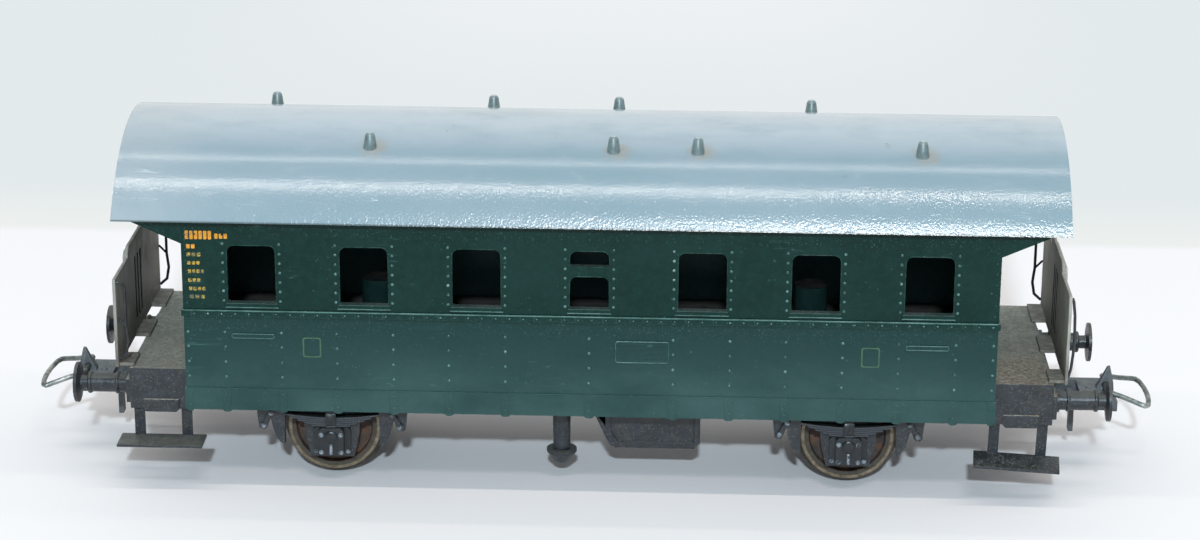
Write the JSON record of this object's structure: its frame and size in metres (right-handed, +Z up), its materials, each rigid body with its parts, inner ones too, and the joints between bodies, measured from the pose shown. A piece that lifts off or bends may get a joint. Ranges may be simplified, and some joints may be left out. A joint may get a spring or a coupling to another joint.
{
  "type": "two-axle model passenger coach with open end platforms",
  "caption": "Small-scale two-axle passenger coach with open end platforms, arched roof, disc wheels and hook-and-bail couplings, modelled as the toy itself.",
  "frame": {"origin": "centre of the bounding box at the bottom, on the surface that the wheel flanges stand on", "axes": "+X along the coach towards its right end in the picture, +Z up, so -Y is the side that the picture shows"},
  "size_m": [0.131, 0.033, 0.0411],
  "materials": {
    "green_plastic": "dark green moulded plastic, worn gloss",
    "roof_grey": "grey-blue moulded plastic, glossy with scratches",
    "chassis_black": "near-black plastic, dusty",
    "wheel_brown": "brown wheel with a worn rim",
    "steel": "plain dull wire and sheet"
  },
  "bodies": {
    "coach": {"body_shell": "green_plastic", "roof": "roof_grey", "chassis": "chassis_black", "balustrade_left": "chassis_black", "balustrade_right": "chassis_black", "gangway_plate_left": "chassis_black", "gangway_plate_right": "chassis_black", "handrail_left_near": "chassis_black", "handrail_left_far": "chassis_black", "handrail_right_near": "chassis_black", "handrail_right_far": "chassis_black", "step_left_near": "chassis_black", "step_left_far": "chassis_black", "step_right_near": "chassis_black", "step_right_far": "chassis_black", "buffer_left_near": "chassis_black", "buffer_left_far": "chassis_black", "buffer_right_near": "chassis_black", "buffer_right_far": "chassis_black", "coupler_left": "chassis_black", "coupler_right": "chassis_black", "axle_guard_left_near": "chassis_black", "axle_guard_left_far": "chassis_black", "axle_guard_right_near": "chassis_black", "axle_guard_right_far": "chassis_black", "axlebox_left_near": "chassis_black", "axlebox_left_far": "chassis_black", "axlebox_right_near": "chassis_black", "axlebox_right_far": "chassis_black", "leaf_spring_left_near": "chassis_black", "leaf_spring_left_far": "chassis_black", "leaf_spring_right_near": "chassis_black", "leaf_spring_right_far": "chassis_black", "battery_box": "chassis_black", "outlet_pipe": "chassis_black", "screw_post_left": "green_plastic", "screw_post_right": "green_plastic", "ballast_plate": "steel"},
    "wheelset_left": {"axle_left": "steel", "wheel_left_near": "wheel_brown", "wheel_left_far": "wheel_brown"},
    "wheelset_right": {"axle_right": "steel", "wheel_right_near": "wheel_brown", "wheel_right_far": "wheel_brown"},
    "left_bail": {"bail_left": "steel"},
    "right_bail": {"bail_right": "steel"}
  },
  "joints": [
    {"name": "wheelset_left_spin", "type": "hinge", "parent": "coach", "child": "wheelset_left", "pos_m": [-0.02965, 0, 0.00618], "axis": [0, 1, 0], "continuous": true},
    {"name": "wheelset_right_spin", "type": "hinge", "parent": "coach", "child": "wheelset_right", "pos_m": [0.02965, 0, 0.00618], "axis": [0, 1, 0], "continuous": true},
    {"name": "bail_left_lift", "type": "hinge", "parent": "coach", "child": "left_bail", "pos_m": [-0.06015, 0, 0.00945], "axis": [0, 1, 0], "range_deg": [0, 45]},
    {"name": "bail_right_lift", "type": "hinge", "parent": "coach", "child": "right_bail", "pos_m": [0.06015, 0, 0.00945], "axis": [0, -1, 0], "range_deg": [0, 45]}
  ]
}
